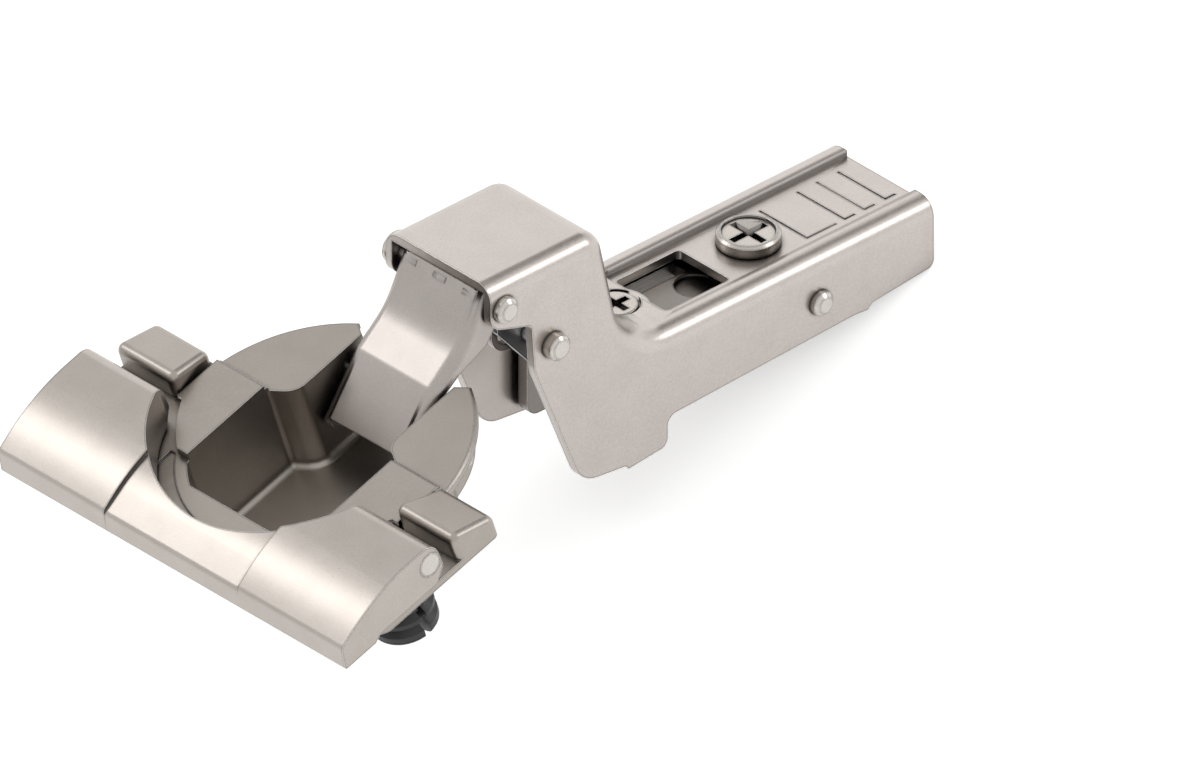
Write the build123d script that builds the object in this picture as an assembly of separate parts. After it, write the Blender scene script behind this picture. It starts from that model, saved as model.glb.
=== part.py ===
from build123d import *
import math
import os

# Concealed cup hinge for a cabinet door, shown fully open, in millimetres.
# The origin lies on the cup axis at the door's surface. +X points towards the arm,
# +Y along the hinge pins and +Z out of the door. A corner of an outline is written as (x, z).
# The arm's pieces have their own frame: origin at the middle of the cup's disc, tilted by OPEN_TILT.

# Cup, lid and dowels
DISC_R = 19.0
DISC_T = 1.0
CUP_R = 17.5
CUP_DEPTH = 12.8
CUP_FLOOR = 1.6
CUP_BOTTOM_R = 6.5
RIM_DEPTH = 0.8
POCKET_R = 14.5
POCKET_FRONT = -12.3
POCKET_HALF = 10.55
POCKET_END = 3.2
POCKET_EDGE_R = 1.0
SLOT_HALF = 7.6
SLOT_WALL = 1.0
SLOT_END_R = 16.9
SLOT_SILL = -4.6
NECK_RUN = 1.7
FLAT_TOP = 2.1
FLAT_HALF = 18.2
FLAT_REAR = 3.2
FLAT_ARC_X = 6.2
FLAT_ARC_R = 19.95
RIM_LINE_R = 16.0
RIM_LINE_DEPTH = 0.25
PLATE_FRONT = -16.7
PLATE_REAR = 2.7
EAR_FRONT = -3.7
EAR_FRONT_TOP = 4.9
EAR_REAR_TOP = 2.85
EAR_FLARE = 1.0
EAR_EDGE_R = 0.9
DOWEL_X = -9.5
DOWEL_PITCH = 45.0
DOWEL_R = 4.0
DOWEL_LENGTH = 7.2
DOWEL_CORE_R = 1.4
DOWEL_COLLAR_R = 4.6
DOWEL_COLLAR_T = 0.5
DOWEL_SPLIT = 1.0
SPREADER_HEAD_R = 1.9
SPREADER_HEAD_T = 0.9
SPREADER_REST_GAP = 0.3
LID_PAST_DOWEL = 5.85
LID_HALF = DOWEL_PITCH / 2 + LID_PAST_DOWEL
PLATE_SHORT = 0.45
PLATE_HALF = LID_HALF - PLATE_SHORT
LID_FRONT = -22.6
LID_FRONT_Z = 0.6
LID_REAR = -6.2
LID_CROWN = 7.0
LID_CROWN_R = 24.0
LID_NOSE_R = 1.9
LID_UNDER = 1.2
LID_WALL = 1.0
LID_END_WALL = 1.2
LID_STRIP_HALF = 11.0
LID_STRIP_DROP = 0.8
LID_ARC_R = 17.9
LID_PIVOT = (-7.6, 4.45)
LID_PIN_R = 1.45
LID_PIN_SHANK_R = 0.7
LID_LUG_R = 1.15
LID_LUG_T = 2.6
LID_TURN = 50.0
LID_SWING_GAP = 0.15

# Pivots of the linkage, with the arm fully open
PIVOT_OUTER_CUP = (11.0, -4.2)
PIVOT_INNER_CUP = (14.0, -2.0)
PIVOT_OUTER_ARM = (24.3, 6.6)
PIVOT_INNER_ARM = (28.9, -3.4)
OPEN_TILT = 18.457
AXLE_R = 1.1
AXLE_LONG_END = -13.0
AXLE_SHORT_END = -9.5
AXLE_BEND_Y = SLOT_HALF + SLOT_WALL + 0.05
AXLE_INSET = 0.2

# Outer and inner links
OUTER_LINK_HALF = 7.0
OUTER_LINK_T = 1.2
OUTER_LINK_BEND_R = 1.7
OUTER_TOP = (23.65, 8.75)
OUTER_CRANK = (18.63, 3.83)
OUTER_SHOULDER = (13.4, 1.58)
OUTER_TOE = (6.6, -3.6)
OUTER_EYE_R = 2.3
KNUCKLE_R = 2.05
KNUCKLE_W = 2.0
KNUCKLE_PITCH = 4.83
INNER_LINK_HALF = 3.6
INNER_LINK_T = 0.9
INNER_EYE_R = 1.9
INNER_SLOT_R = 1.7
INNER_SLOT_SHIFT = (-1.85, 1.05)
INNER_SLOT_WALL = 0.9

# Arm, in its own frame
ARM_HALF = 8.7
ARM_T = 1.1
ARM_BEND_R = 2.2
ARM_FRONT = 19.3
ARM_REAR = 87.38
BOX_ROOF = 16.4
REAR_ROOF = -1.3
BOX_CORNER_X = 36.85
STEP_TURN = 77.7
STEP_TOP_R = 3.0
STEP_FOOT_R = 7.8
PANEL_START = 49.4
PANEL_HALF = 5.6
PANEL_SINK = 0.8
WINDOW_X = (50.4, 60.2)
WINDOW_HALF = 4.25
MARK_X = (72.4, 78.2, 81.2, 84.4)
MARK_LEG = (4.5, 1.6, 1.6, 1.6)
MARK_HALF = 4.0
MARK_W = 0.3
MARK_DEPTH = 0.2
OUTER_PIN_R = 1.1
OUTER_PIN_END_R = 1.6
OUTER_PIN_PROUD = 1.2
OUTER_PIN_HEAD_R = 2.0
OUTER_PIN_HEAD_T = 0.9
INNER_PIN_R = 1.2
INNER_PIN_END_R = 1.6
INNER_PIN_PROUD = 1.6
REAR_PIN = (69.8, -7.2)
REAR_PIN_R = 1.5
REAR_PIN_PROUD = 1.2
SPRING_HALF = 4.8
SPRING_T = 0.7

# Adjusters and the inner channel, in the arm's frame
CARRIER_HALF = 6.9
CARRIER_T = 1.4
CARRIER_TOP = -4.3
CARRIER_FRONT = 38.1
CARRIER_REAR = 84.5
CARRIER_TRAVEL = 2.0
CAM_X = 67.0
CAM_HEAD_R = 3.75
CAM_PROUD = 1.6
CAM_RING_W = 0.6
CAM_DISH = 0.3
CAM_PIN_GAP = 0.15
CAM_SHAFT_R = 3.6
CAM_THROW = 2.4
CAM_PIN_R = 1.1
SIDE_SCREW_X = 46.6
SIDE_SCREW_R = 1.9
SIDE_SHAFT_END = -2.95
SIDE_NECK_R = 0.9
SIDE_FOOT_R = 2.7
SIDE_FOOT_T = 1.0
SIDE_FOOT_GAP = 0.8
SIDE_SCREW_HEAD_R = 2.6
SIDE_SCREW_HEAD_T = 0.6
SIDE_SEAT_DEPTH = 0.75
SIDE_SEAT_FLOOR = 0.8
RECESS_HALF = 0.45
LATCH_PIN = (80.5, -7.6)
LATCH_PIN_R = 1.0
LATCH_HALF = 3.4
LATCH_CHEEK = 1.2
LATCH_SPRING_WIRE_R = 0.35
LATCH_SPRING_TURNS = 5

# Clearances
RUNNING = 0.05
SEATED = 0.02
FREE = 0.3


def outline(corners, radii):
    """Closed outline with one bend radius for each corner, drawn as (x, z)."""
    return make_face(FilletPolyline(*corners, radius=radii, close=True))


def slab(sketch, y_from, y_to):
    """An (x, z) sketch given thickness from one y to another."""
    return extrude(Pos(0, y_to, 0) * (Plane.XZ * sketch), amount=y_to - y_from)


def bar(centre, radius, y_from, y_to):
    """Round bar along Y."""
    return Pos(centre[0], (y_from + y_to) / 2, centre[1]) * Rot(90, 0, 0) * Cylinder(radius, y_to - y_from)


def block(x_from, x_to, y_from, y_to, z_from, z_to):
    """Box between two corners."""
    middle = Pos((x_from + x_to) / 2, (y_from + y_to) / 2, (z_from + z_to) / 2)
    return middle * Box(x_to - x_from, y_to - y_from, z_to - z_from)


def post(x, y, radius, z_from, z_to):
    """Round post along Z."""
    return Pos(x, y, (z_from + z_to) / 2) * Cylinder(radius, z_to - z_from)


def both_sides(piece):
    """The piece and its mirror image across the hinge's middle plane."""
    return piece + mirror(piece, about=Plane.XZ)


def chamfered_end(pin, y_end, size):
    """Breaks the edge of a pin at one end."""
    edges = [e for e in pin.edges() if abs(e.center().Y - y_end) < 1e-4 and e.geom_type == GeomType.CIRCLE]
    return chamfer(edges, size)


def to_arm(point):
    """A point of the open hinge as (x, z) in the arm's frame."""
    turn = math.radians(OPEN_TILT)
    x, z = point[0], point[1] - DISC_T
    return (x * math.cos(turn) - z * math.sin(turn), x * math.sin(turn) + z * math.cos(turn))


def place_arm(piece):
    """Sets a piece of the arm on the open hinge."""
    return Pos(0, 0, DISC_T) * Rot(0, OPEN_TILT, 0) * piece


# The cup: one zinc casting with disc, ears, pocket and link slot

def pocket_sketch():
    """Plan of the pocket: a round front cut by a chord, and the link slot behind it."""
    slot_mouth = math.sqrt(SLOT_END_R ** 2 - SLOT_HALF ** 2)
    neck = POCKET_END + NECK_RUN
    corners = [(POCKET_FRONT, POCKET_HALF), (POCKET_END, POCKET_HALF), (neck, SLOT_HALF),
               (slot_mouth + 3, SLOT_HALF), (slot_mouth + 3, -SLOT_HALF), (neck, -SLOT_HALF),
               (POCKET_END, -POCKET_HALF), (POCKET_FRONT, -POCKET_HALF)]
    radii = [0, 0.7, 2.6, 0, 0, 2.6, 0.7, 0]
    front = Circle(POCKET_R) + Pos(DISC_R, 0) * Rectangle(2 * DISC_R, 2 * DISC_R)
    return outline(corners, radii) & front & Circle(SLOT_END_R)


def cup():
    half_pitch = DOWEL_PITCH / 2
    body = post(0, 0, CUP_R, -CUP_DEPTH, 0)
    body = fillet(body.edges().sort_by(Axis.Z)[0], CUP_BOTTOM_R)
    trough = SLOT_HALF + SLOT_WALL
    side_space = block(POCKET_END + NECK_RUN + SLOT_WALL, CUP_R + 1, trough, CUP_R + 1, -CUP_DEPTH - 1, -RIM_DEPTH)
    body -= both_sides(side_space)

    plate = extrude(RectangleRounded(PLATE_REAR - PLATE_FRONT, 2 * PLATE_HALF, 2.0), amount=DISC_T)
    plate = Pos((PLATE_FRONT + PLATE_REAR) / 2, 0, 0) * plate
    disc = post(0, 0, DISC_R, 0, DISC_T)
    disc = chamfer(disc.edges().sort_by(Axis.Z)[-1], 0.25)

    flats = block(POCKET_FRONT, FLAT_REAR, -FLAT_HALF, FLAT_HALF, 0, FLAT_TOP)
    flats &= (post(FLAT_ARC_X, 0, FLAT_ARC_R, 0, FLAT_TOP)
              + block(EAR_FRONT, FLAT_REAR, -DISC_R, DISC_R, 0, FLAT_TOP))
    flats -= block(POCKET_FRONT - 1, POCKET_FRONT + 2.7, -DISC_R, DISC_R, DISC_T, FLAT_TOP + 1)
    flats -= block(FLAT_REAR - 0.4, FLAT_REAR, -DISC_R, DISC_R, FLAT_TOP - 0.5, FLAT_TOP)

    ear_side = outline([(EAR_FRONT, 0), (EAR_FRONT, EAR_FRONT_TOP), (PLATE_REAR, EAR_REAR_TOP), (PLATE_REAR, 0)],
                       [0, 1.0, 1.2, 0])
    ear_plan = make_face(Polyline((EAR_FRONT, FLAT_HALF), (PLATE_REAR, FLAT_HALF + EAR_FLARE),
                                  (PLATE_REAR, PLATE_HALF), (EAR_FRONT, PLATE_HALF), close=True))
    ear = slab(ear_side, FLAT_HALF, PLATE_HALF) & extrude(ear_plan, amount=EAR_FRONT_TOP)
    top_edges = [e for e in ear.edges() if e.center().Z > EAR_REAR_TOP - 1.2
                 and (e.center().Y > PLATE_HALF - 0.01 or e.center().Y < FLAT_HALF + EAR_FLARE)]
    ear = fillet([e for e in top_edges if abs(e.tangent_at(0.5).Z) < 0.99], EAR_EDGE_R)
    lug_inner = LID_HALF - LID_END_WALL - LID_LUG_T - 0.1
    lug_sketch = (Pos(*LID_PIVOT) * Circle(LID_LUG_R)
                  + Pos(LID_PIVOT[0], LID_PIVOT[1] / 2) * Rectangle(2 * LID_LUG_R, LID_PIVOT[1]))
    lug = slab(lug_sketch, lug_inner, lug_inner + LID_LUG_T)

    casting = body + plate + disc + flats + both_sides(ear) + both_sides(lug)
    casting -= post(0, 0, DISC_R, DISC_T - RIM_LINE_DEPTH, DISC_T) & (
        block(-DISC_R, -9.6, -POCKET_HALF - 3, POCKET_HALF + 3, 0, DISC_T)
        - post(0, 0, RIM_LINE_R, 0, DISC_T))

    pocket = extrude(pocket_sketch(), amount=CUP_DEPTH - CUP_FLOOR + FLAT_TOP + 1)
    pocket = Pos(0, 0, CUP_FLOOR - CUP_DEPTH) * pocket
    pocket = fillet(pocket.faces().sort_by(Axis.Z)[0].edges(), POCKET_EDGE_R)
    casting -= pocket
    casting -= block(POCKET_END + 6, DISC_R + 1, -SLOT_HALF, SLOT_HALF, SLOT_SILL, DISC_T + 1)
    mouth = make_face(Polyline((15.4, SLOT_HALF - 0.1), (16.4, SLOT_HALF + 1.6), (DISC_R + 1, SLOT_HALF + 2.4),
                               (DISC_R + 1, SLOT_HALF - 0.1), close=True))
    casting -= both_sides(Pos(0, 0, -RIM_DEPTH) * extrude(mouth, amount=RIM_DEPTH + DISC_T))

    for pivot in (PIVOT_OUTER_CUP, PIVOT_INNER_CUP):
        casting -= bar(pivot, AXLE_R + SEATED, -CUP_R, CUP_R)
    casting -= axle_room()
    for side in (-1, 1):
        casting -= post(DOWEL_X, side * half_pitch, DOWEL_R + SEATED, 0, DISC_T)
        casting -= post(DOWEL_X, side * half_pitch, DOWEL_COLLAR_R + SEATED, DISC_T - DOWEL_COLLAR_T, DISC_T)
        lug_hole_end = side * (lug_inner + LID_LUG_T)
        casting -= bar(LID_PIVOT, LID_PIN_SHANK_R + SEATED, min(side * lug_inner, lug_hole_end),
                       max(side * lug_inner, lug_hole_end))
    return casting


def axle_room():
    """Space under the disc for the bent end and the short end of the cup axle."""
    low = min(PIVOT_OUTER_CUP[1], PIVOT_INNER_CUP[1]) - AXLE_R - FREE
    high = max(PIVOT_OUTER_CUP[1], PIVOT_INNER_CUP[1]) + AXLE_R + 0.2
    front = PIVOT_OUTER_CUP[0] - AXLE_R - FREE
    rear = PIVOT_INNER_CUP[0] + AXLE_R + FREE
    wall = SLOT_HALF + SLOT_WALL
    bend_end = AXLE_BEND_Y + math.dist(PIVOT_OUTER_CUP, PIVOT_INNER_CUP) / 2 + AXLE_R + FREE
    bend_side = block(front, rear, wall, bend_end, low, high)
    short_side = block(PIVOT_INNER_CUP[0] - AXLE_R - FREE, rear, AXLE_SHORT_END - FREE, -wall, low, high)
    return bend_side + short_side


def cup_axle():
    """One wire bent to a U: its legs are the links' pivots, and its bend is coined to the boring's curve."""
    legs = bar(PIVOT_OUTER_CUP, AXLE_R, AXLE_LONG_END, AXLE_BEND_Y)
    legs = chamfered_end(legs, AXLE_LONG_END, 0.5)
    legs += bar(PIVOT_INNER_CUP, AXLE_R, AXLE_SHORT_END, AXLE_BEND_Y)
    across = (PIVOT_INNER_CUP[0] - PIVOT_OUTER_CUP[0], PIVOT_INNER_CUP[1] - PIVOT_OUTER_CUP[1])
    middle = ((PIVOT_OUTER_CUP[0] + PIVOT_INNER_CUP[0]) / 2, (PIVOT_OUTER_CUP[1] + PIVOT_INNER_CUP[1]) / 2)
    end = Pos(PIVOT_OUTER_CUP[0], AXLE_BEND_Y, PIVOT_OUTER_CUP[1]) * (Plane.XZ * Circle(AXLE_R))
    axis = Axis((middle[0], AXLE_BEND_Y, middle[1]), (across[1], 0, -across[0]))
    bend = revolve(end, axis, 180)
    if bend.bounding_box().max.Y < AXLE_BEND_Y + AXLE_R:
        bend = revolve(end, axis.reverse(), 180)
    within_boring = post(0, 0, CUP_R - AXLE_INSET, -CUP_DEPTH, 0)
    return (legs + bend) & within_boring


# The lid that covers the flange and works the dowels

def lid_profile(drop):
    """Section of the lid, its crown lowered by drop."""
    corners = [(LID_FRONT, LID_FRONT_Z), (LID_FRONT + 0.35, 3.7 - 0.4 * drop), (-15.8, LID_CROWN - drop),
               (LID_REAR, LID_CROWN - drop), (LID_REAR + 0.25, 3.0), (-7.5, LID_UNDER), (-16.75, LID_UNDER),
               (-17.7, LID_FRONT_Z)]
    return outline(corners, [0.3, 0.9, LID_CROWN_R - 5 * drop, LID_NOSE_R, 0.8, 0, 0, 0])


def lid():
    strip = slab(lid_profile(LID_STRIP_DROP), -LID_STRIP_HALF, LID_STRIP_HALF)
    wing = slab(lid_profile(0), LID_STRIP_HALF, LID_HALF)
    shell = strip + both_sides(wing)
    floor_opening = Pos(-14.5, 1.2) * Rectangle(12.6, 2.4)
    room = offset(lid_profile(0), -LID_WALL) + floor_opening
    room_low = offset(lid_profile(LID_STRIP_DROP), -LID_WALL) + floor_opening
    end = LID_HALF - LID_END_WALL
    arc_wall = post(0, 0, LID_ARC_R + LID_WALL, -1, LID_CROWN + 1)
    shell -= both_sides(slab(room, LID_STRIP_HALF + LID_WALL, end)) - arc_wall
    shell -= slab(room_low, -LID_STRIP_HALF, LID_STRIP_HALF) - arc_wall
    shell -= post(0, 0, LID_ARC_R, -1, LID_CROWN + 1)
    shell -= post(0, 0, DISC_R + FREE, -1, LID_UNDER)
    lug_inner = end - LID_LUG_T - 0.25
    lug_half = LID_LUG_R + LID_SWING_GAP
    swing = Pos(*LID_PIVOT) * Circle(lug_half)
    for turn in (0, LID_TURN / 2, LID_TURN):
        leg = Pos(0, -LID_PIVOT[1] / 2) * Rectangle(2 * lug_half, LID_PIVOT[1])
        swing += Pos(*LID_PIVOT) * Rot(0, 0, turn) * leg
    shell -= both_sides(slab(swing, lug_inner, end))
    head_half = SPREADER_HEAD_R + FREE
    shell -= both_sides(block(-14, -5, DOWEL_PITCH / 2 - head_half, DOWEL_PITCH / 2 + head_half, 0, 4.2))
    for side in (-1, 1):
        shell -= bar(LID_PIVOT, LID_PIN_R + RUNNING, side * LID_HALF - 2, side * LID_HALF + 2)
    return shell


def lid_pin(side):
    """Stepped pivot pin of the lid, seated in the cup's lug."""
    end = LID_HALF - LID_END_WALL
    pin = bar(LID_PIVOT, LID_PIN_R, end, LID_HALF) + bar(LID_PIVOT, LID_PIN_SHANK_R, end - LID_LUG_T, end)
    return pin if side > 0 else mirror(pin, about=Plane.XZ)


def dowel(side):
    """Split nylon dowel with three barbed ribs."""
    profile = [(DOWEL_CORE_R, DISC_T), (DOWEL_COLLAR_R, DISC_T), (DOWEL_COLLAR_R, DISC_T - DOWEL_COLLAR_T),
               (DOWEL_R, DISC_T - DOWEL_COLLAR_T), (DOWEL_R, -0.6)]
    rib = (DOWEL_LENGTH - 1.5) / 3
    for i in range(3):
        top = -0.6 - i * rib
        profile += [(DOWEL_R - 0.7, top), (DOWEL_R - 0.7, top - 0.35 * rib), (DOWEL_R, top - 0.55 * rib),
                    (DOWEL_R, top - rib + 0.25)]
    profile += [(DOWEL_R - 1.1, -DOWEL_LENGTH), (DOWEL_CORE_R, -DOWEL_LENGTH)]
    body = revolve(Plane.XZ * make_face(Polyline(*profile, close=True)), Axis.Z)
    body -= block(-DOWEL_R - 1, DOWEL_R + 1, -DOWEL_SPLIT / 2, DOWEL_SPLIT / 2, -DOWEL_LENGTH - 1, -0.8)
    return Pos(DOWEL_X, side * DOWEL_PITCH / 2, 0) * body


def spreader(side):
    """Pin that the lid drives down to spread the dowel."""
    shank_r = DOWEL_CORE_R - RUNNING
    tip = -DOWEL_LENGTH + 0.6
    head = DISC_T + SPREADER_REST_GAP
    pin = post(0, 0, shank_r, tip, head) + post(0, 0, SPREADER_HEAD_R, head, head + SPREADER_HEAD_T)
    pin = chamfer(pin.edges().sort_by(Axis.Z)[0], 0.5)
    return Pos(DOWEL_X, side * DOWEL_PITCH / 2, 0) * pin


# The links

def outer_link():
    """Cranked U-section link: a web that shows, two cheeks, and knuckles rolled round the arm's pin."""
    def past(point, other, reach):
        length = math.dist(point, other)
        return (point[0] + (point[0] - other[0]) / length * reach, point[1] + (point[1] - other[1]) / length * reach)

    def section(inset, half):
        """The web's outside, carried on past both ends, or the same line set in by the sheet."""
        path = [past(OUTER_TOP, OUTER_CRANK, 5), OUTER_CRANK, OUTER_SHOULDER, past(OUTER_TOE, OUTER_SHOULDER, 5)]
        normals = []
        for a, b in zip(path, path[1:]):
            run = math.dist(a, b)
            normals.append((-(b[1] - a[1]) / run, (b[0] - a[0]) / run))
        moved = [(path[0][0] + normals[0][0] * inset, path[0][1] + normals[0][1] * inset)]
        for corner, n, m in zip(path[1:], normals, normals[1:]):
            share = inset / (1 + n[0] * m[0] + n[1] * m[1])
            moved.append((corner[0] + (n[0] + m[0]) * share, corner[1] + (n[1] + m[1]) * share))
        moved.append((path[3][0] + normals[2][0] * inset, path[3][1] + normals[2][1] * inset))
        first, last = moved[0], moved[3]
        corners = moved + [(last[0], -30), (60, -30), (60, first[1])]
        sketch = outline(corners, [0, 9 - inset, 2 + inset, 0, 0, 0, 0])
        return slab(sketch, -half, half)

    solid = section(0, OUTER_LINK_HALF)
    bends = [e for e in solid.edges() if abs(abs(e.center().Y) - OUTER_LINK_HALF) < 0.01
             and e.center().X < 26 and -7 < e.center().Z < 12]
    solid = fillet(bends, OUTER_LINK_BEND_R)
    solid -= section(OUTER_LINK_T, OUTER_LINK_HALF - OUTER_LINK_T)
    cx, cz = PIVOT_OUTER_CUP
    ax, az = PIVOT_OUTER_ARM
    above_top = past(OUTER_TOP, (OUTER_TOP[0] + 0.67, OUTER_TOP[1] - 0.74), 3)
    cheek = outline([OUTER_TOP, above_top, (-2, -2), OUTER_TOE, (6.95, -6.0), (8.6, -6.9), (cx, cz - OUTER_EYE_R),
                     (cx + OUTER_EYE_R - 0.4, cz - 0.6), (12.2, -2.3), (13.5, -0.05), (16.9, 1.15), (21.7, 1.95),
                     (25.7, 5.1), (24.6, 8.6)],
                    [0, 0, 0, 0, 1.5, 0.8, 0, 0, 0, 0.8, 2.0, 0.6, 0, 0])
    cheek += Pos(cx, cz) * Circle(OUTER_EYE_R) + Pos(ax, az) * Circle(KNUCKLE_R)
    solid &= slab(cheek, -OUTER_LINK_HALF, OUTER_LINK_HALF)

    inside = OUTER_LINK_HALF - OUTER_LINK_T
    toe_room = make_face(Polyline(OUTER_TOE, past(OUTER_TOE, (OUTER_TOE[0] - 0.6, OUTER_TOE[1] + 0.8), 3),
                                  (cx, cz - 6), (0, -14), (0, OUTER_TOE[1]), close=True))
    solid -= slab(toe_room, -inside, inside)
    knuckle_half = KNUCKLE_W / 2
    for low in (-KNUCKLE_PITCH + knuckle_half, knuckle_half):
        gap = bar(PIVOT_OUTER_ARM, KNUCKLE_R + FREE, low, low + KNUCKLE_PITCH - KNUCKLE_W)
        solid -= gap & section(OUTER_LINK_T, OUTER_LINK_HALF)
    for middle in (-KNUCKLE_PITCH, 0, KNUCKLE_PITCH):
        solid += bar(PIVOT_OUTER_ARM, KNUCKLE_R, middle - knuckle_half, middle + knuckle_half)
    solid -= bar(PIVOT_OUTER_ARM, OUTER_PIN_R + RUNNING, -ARM_HALF, ARM_HALF)
    solid -= bar(PIVOT_OUTER_CUP, AXLE_R + RUNNING, -ARM_HALF, ARM_HALF)
    return solid


def inner_link():
    """Goose-necked U-section link, with a long hole at the arm's pin."""
    dx, dz = PIVOT_INNER_CUP
    bx, bz = PIVOT_INNER_ARM
    end = (bx + INNER_SLOT_SHIFT[0], bz + INNER_SLOT_SHIFT[1])
    angle = math.degrees(math.atan2(end[1] - bz, end[0] - bx))
    centre = Pos((bx + end[0]) / 2, (bz + end[1]) / 2) * Rot(0, 0, angle)
    run = math.dist(end, (bx, bz))
    top = [(15.7, -0.1), (17.1, 1.4), (20.4, 3.1), (22.6, 3.7), (25.4, 1.9), (29.0, -0.9)]
    bottom = [(27.0, -4.6), (24.6, 0.1), (22.6, 1.7), (19.6, 1.2), (17.2, 0.2), (15.5, -2.6)]
    neck = outline(top + bottom, [0, 0.8, 2, 1.5, 2, 0, 0, 1, 1, 2, 1, 0])
    eyes = Pos(dx, dz) * Circle(INNER_EYE_R) + centre * SlotCenterToCenter(run, 2 * (INNER_SLOT_R + INNER_SLOT_WALL))
    solid = slab(neck + eyes, -INNER_LINK_HALF, INNER_LINK_HALF)
    lowered = [(x, z - INNER_LINK_T) for x, z in top[1:-1]]
    room = outline([(10, -1.2), (15.9, -1.2)] + lowered + [(29.4, -3.4), (33, -12), (10, -12)],
                   [0, 0.5, 0.8, 2, 1.5, 2, 0, 0, 0])
    solid -= slab(room, -INNER_LINK_HALF + INNER_LINK_T, INNER_LINK_HALF - INNER_LINK_T)
    solid -= bar(PIVOT_INNER_CUP, AXLE_R + RUNNING, -ARM_HALF, ARM_HALF)
    solid -= slab(centre * SlotCenterToCenter(run, 2 * INNER_SLOT_R), -ARM_HALF, ARM_HALF)
    return solid


# The arm: one folded steel channel

def roof_line(depth):
    """Corners of the roof's step at a depth under its outer face, with their bend radii."""
    half_turn = math.radians(STEP_TURN / 2)
    shift = depth * math.tan(half_turn)
    fall = (BOX_ROOF - REAR_ROOF) / math.tan(math.radians(STEP_TURN))
    high = (BOX_CORNER_X - shift, BOX_ROOF - depth)
    low = (BOX_CORNER_X + fall - shift, REAR_ROOF - depth)
    return high, low, STEP_TOP_R - depth, STEP_FOOT_R + depth


def arm():
    high, low, high_r, low_r = roof_line(0)
    wall = [(ARM_FRONT, BOX_ROOF), (ARM_FRONT, 10.83), (25.6, 8.8), (26.1, 2.2), (33.3, -15.5), (40.0, -16.2),
            (40.5, -16.75), (46.5, -16.2), (46.5, -12.4), (75.0, -11.35), (77.2, -11.5), (78.0, -10.85),
            (ARM_REAR, -10.0), (ARM_REAR, REAR_ROOF)]
    radii = [0, 2.2, 0.8, 6, 4, 0.2, 0.2, 1.2, 1.3, 0, 0.4, 0, 1.0, 0]
    solid = slab(outline(wall + [low, high], radii + [low_r, high_r]), -ARM_HALF, ARM_HALF)
    bends = [e for e in solid.edges() if abs(abs(e.center().Y) - ARM_HALF) < 0.01
             and e.center().Z > REAR_ROOF - 0.01 and e.center().X > 20 and e.center().X < ARM_REAR - 1
             and roof_edge(e)]
    solid = fillet(bends, ARM_BEND_R)
    inner_high, inner_low, inner_high_r, inner_low_r = roof_line(ARM_T)
    room = outline([(ARM_FRONT - 5, inner_high[1]), inner_high, inner_low, (ARM_REAR + 5, inner_low[1]),
                    (ARM_REAR + 5, -30), (ARM_FRONT - 5, -30)], [0, inner_high_r, inner_low_r, 0, 0, 0])
    hollow = slab(room, -ARM_HALF + ARM_T, ARM_HALF - ARM_T)
    solid -= hollow

    panel_under = REAR_ROOF - PANEL_SINK - ARM_T
    solid += block(PANEL_START - ARM_T, ARM_REAR, -PANEL_HALF - ARM_T, PANEL_HALF + ARM_T,
                   panel_under, REAR_ROOF - ARM_T / 2)
    panel = block(PANEL_START, ARM_REAR + 5, -PANEL_HALF, PANEL_HALF, REAR_ROOF - PANEL_SINK, REAR_ROOF + 1)
    upright = panel.edges().filter_by(Axis.Z)
    panel = fillet(upright.sort_by(Axis.X)[:2], 1.2)
    solid -= panel
    window = extrude(RectangleRounded(WINDOW_X[1] - WINDOW_X[0], 2 * WINDOW_HALF, 0.6), amount=8)
    solid -= Pos((WINDOW_X[0] + WINDOW_X[1]) / 2, 0, -6) * window
    solid -= post(CAM_X, 0, CAM_SHAFT_R + RUNNING, -8, 2)
    seat_floor = REAR_ROOF - SIDE_SEAT_DEPTH
    solid += post(SIDE_SCREW_X, 0, SIDE_SCREW_HEAD_R + FREE + ARM_T, seat_floor - SIDE_SEAT_FLOOR,
                  REAR_ROOF - ARM_T / 2)
    solid -= post(SIDE_SCREW_X, 0, SIDE_SCREW_R + RUNNING, -8, 2)
    solid -= post(SIDE_SCREW_X, 0, SIDE_SCREW_HEAD_R + FREE, seat_floor, 5)

    groove_floor = REAR_ROOF - PANEL_SINK - MARK_DEPTH
    for x, leg in zip(MARK_X, MARK_LEG):
        solid -= block(x - MARK_W / 2, x + MARK_W / 2, -MARK_HALF, MARK_HALF, groove_floor, REAR_ROOF)
        leg_end = min(x + leg, ARM_REAR - 0.8)
        solid -= block(x, leg_end, -MARK_HALF, -MARK_HALF + MARK_W, groove_floor, REAR_ROOF)

    outer_pin = to_arm(PIVOT_OUTER_ARM)
    inner_pin = to_arm(PIVOT_INNER_ARM)
    solid -= bar(outer_pin, OUTER_PIN_END_R + SEATED, -ARM_HALF - 1, 0)
    solid -= bar(outer_pin, OUTER_PIN_R + SEATED, 0, ARM_HALF + 1)
    solid -= bar(inner_pin, INNER_PIN_END_R + SEATED, -ARM_HALF - 1, ARM_HALF + 1)
    solid -= bar(REAR_PIN, REAR_PIN_R + SEATED, -ARM_HALF - 1, ARM_HALF + 1)
    return place_arm(solid)


def roof_edge(edge):
    """True for an edge along the arm's roof line."""
    high, low, _, _ = roof_line(0)
    x, z = edge.center().X, edge.center().Z
    if x < high[0] - STEP_TOP_R:
        return z > BOX_ROOF - 0.01
    if x > low[0] + STEP_FOOT_R:
        return z > REAR_ROOF - 0.01
    return x > high[0] - STEP_TOP_R


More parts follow.
